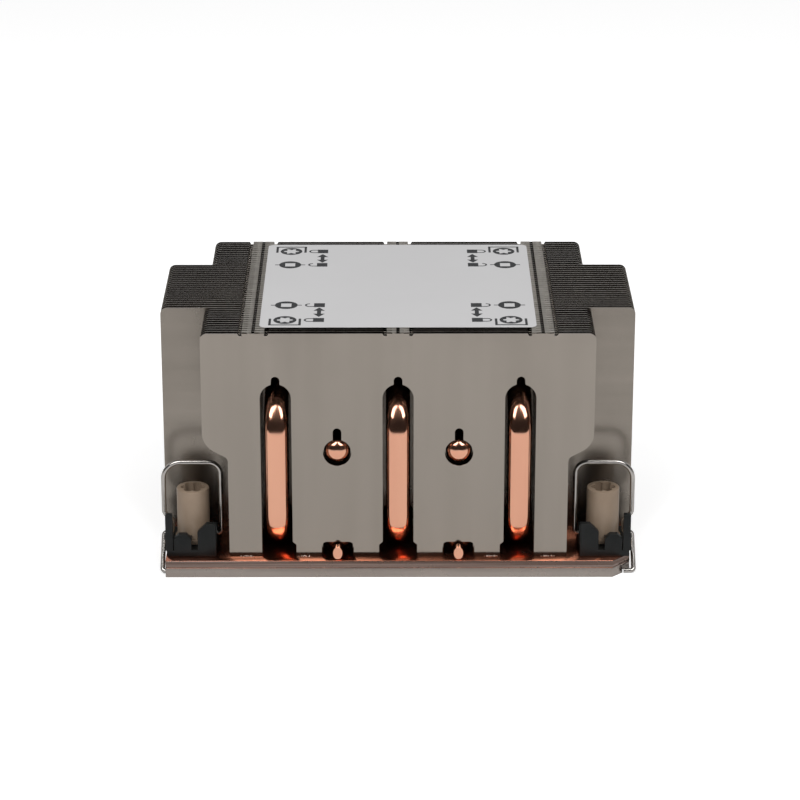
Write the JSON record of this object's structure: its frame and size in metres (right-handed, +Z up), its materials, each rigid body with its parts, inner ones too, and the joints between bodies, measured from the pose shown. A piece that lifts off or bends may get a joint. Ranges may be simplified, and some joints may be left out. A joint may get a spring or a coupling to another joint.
{
  "type": "passive server cpu heatsink",
  "caption": "Low finned heatsink on a two-layer base, with bent heat pipes, captive corner nuts and swinging anti-tilt wires.",
  "frame": {"origin": "centre of the underside of the base, the face that meets the processor", "axes": "+X along the long side, +Y to the back, +Z up through the fins"},
  "size_m": [0.1194, 0.078, 0.0641],
  "materials": {
    "plated_base": "nickel plated, satin",
    "bare_copper": "satin copper",
    "fin_sheet": "thin stamped sheet, satin",
    "tab_strips": "folded sheet, satin",
    "pipe_copper": "bare drawn copper",
    "label_paper": "pale grey printed film",
    "nut_plastic": "tan moulded plastic",
    "holder_plastic": "black moulded plastic",
    "spring_wire": "bright drawn wire"
  },
  "bodies": {
    "heatsink": {"base_plate": "plated_base", "copper_base": "bare_copper", "front_end_fin": "fin_sheet", "front_fins": "fin_sheet", "middle_fins": "fin_sheet", "rear_fins": "fin_sheet", "rear_end_fin": "fin_sheet", "fin_tabs": "tab_strips", "left_front_pipe": "pipe_copper", "centre_front_pipe": "pipe_copper", "right_front_pipe": "pipe_copper", "left_rear_pipe": "pipe_copper", "right_rear_pipe": "pipe_copper", "top_label": "label_paper", "front_left_nut_holder": "holder_plastic", "front_right_nut_holder": "holder_plastic", "rear_left_nut_holder": "holder_plastic", "rear_right_nut_holder": "holder_plastic"},
    "front_left_nut": {"front_left_nut": "nut_plastic"},
    "front_left_wire": {"front_left_wire": "spring_wire"},
    "front_right_nut": {"front_right_nut": "nut_plastic"},
    "front_right_wire": {"front_right_wire": "spring_wire"},
    "rear_left_nut": {"rear_left_nut": "nut_plastic"},
    "rear_left_wire": {"rear_left_wire": "spring_wire"},
    "rear_right_nut": {"rear_right_nut": "nut_plastic"},
    "rear_right_wire": {"rear_right_wire": "spring_wire"}
  },
  "joints": [
    {"name": "front_left_nut_turn", "type": "hinge", "parent": "heatsink", "child": "front_left_nut", "pos_m": [-0.0516, -0.028, 0.0135], "axis": [0, 0, 1], "continuous": true},
    {"name": "front_left_wire_swing", "type": "hinge", "parent": "heatsink", "child": "front_left_wire", "pos_m": [-0.0516, -0.028, 0.0076], "axis": [1, 0, 0], "range_deg": [0, 90]},
    {"name": "front_right_nut_turn", "type": "hinge", "parent": "heatsink", "child": "front_right_nut", "pos_m": [0.0516, -0.028, 0.0135], "axis": [0, 0, 1], "continuous": true},
    {"name": "front_right_wire_swing", "type": "hinge", "parent": "heatsink", "child": "front_right_wire", "pos_m": [0.0516, -0.028, 0.0076], "axis": [1, 0, 0], "range_deg": [0, 90]},
    {"name": "rear_left_nut_turn", "type": "hinge", "parent": "heatsink", "child": "rear_left_nut", "pos_m": [-0.0516, 0.028, 0.0135], "axis": [0, 0, 1], "continuous": true},
    {"name": "rear_left_wire_swing", "type": "hinge", "parent": "heatsink", "child": "rear_left_wire", "pos_m": [-0.0516, 0.028, 0.0076], "axis": [-1, 0, 0], "range_deg": [0, 90]},
    {"name": "rear_right_nut_turn", "type": "hinge", "parent": "heatsink", "child": "rear_right_nut", "pos_m": [0.0516, 0.028, 0.0135], "axis": [0, 0, 1], "continuous": true},
    {"name": "rear_right_wire_swing", "type": "hinge", "parent": "heatsink", "child": "rear_right_wire", "pos_m": [0.0516, 0.028, 0.0076], "axis": [-1, 0, 0], "range_deg": [0, 90]}
  ]
}
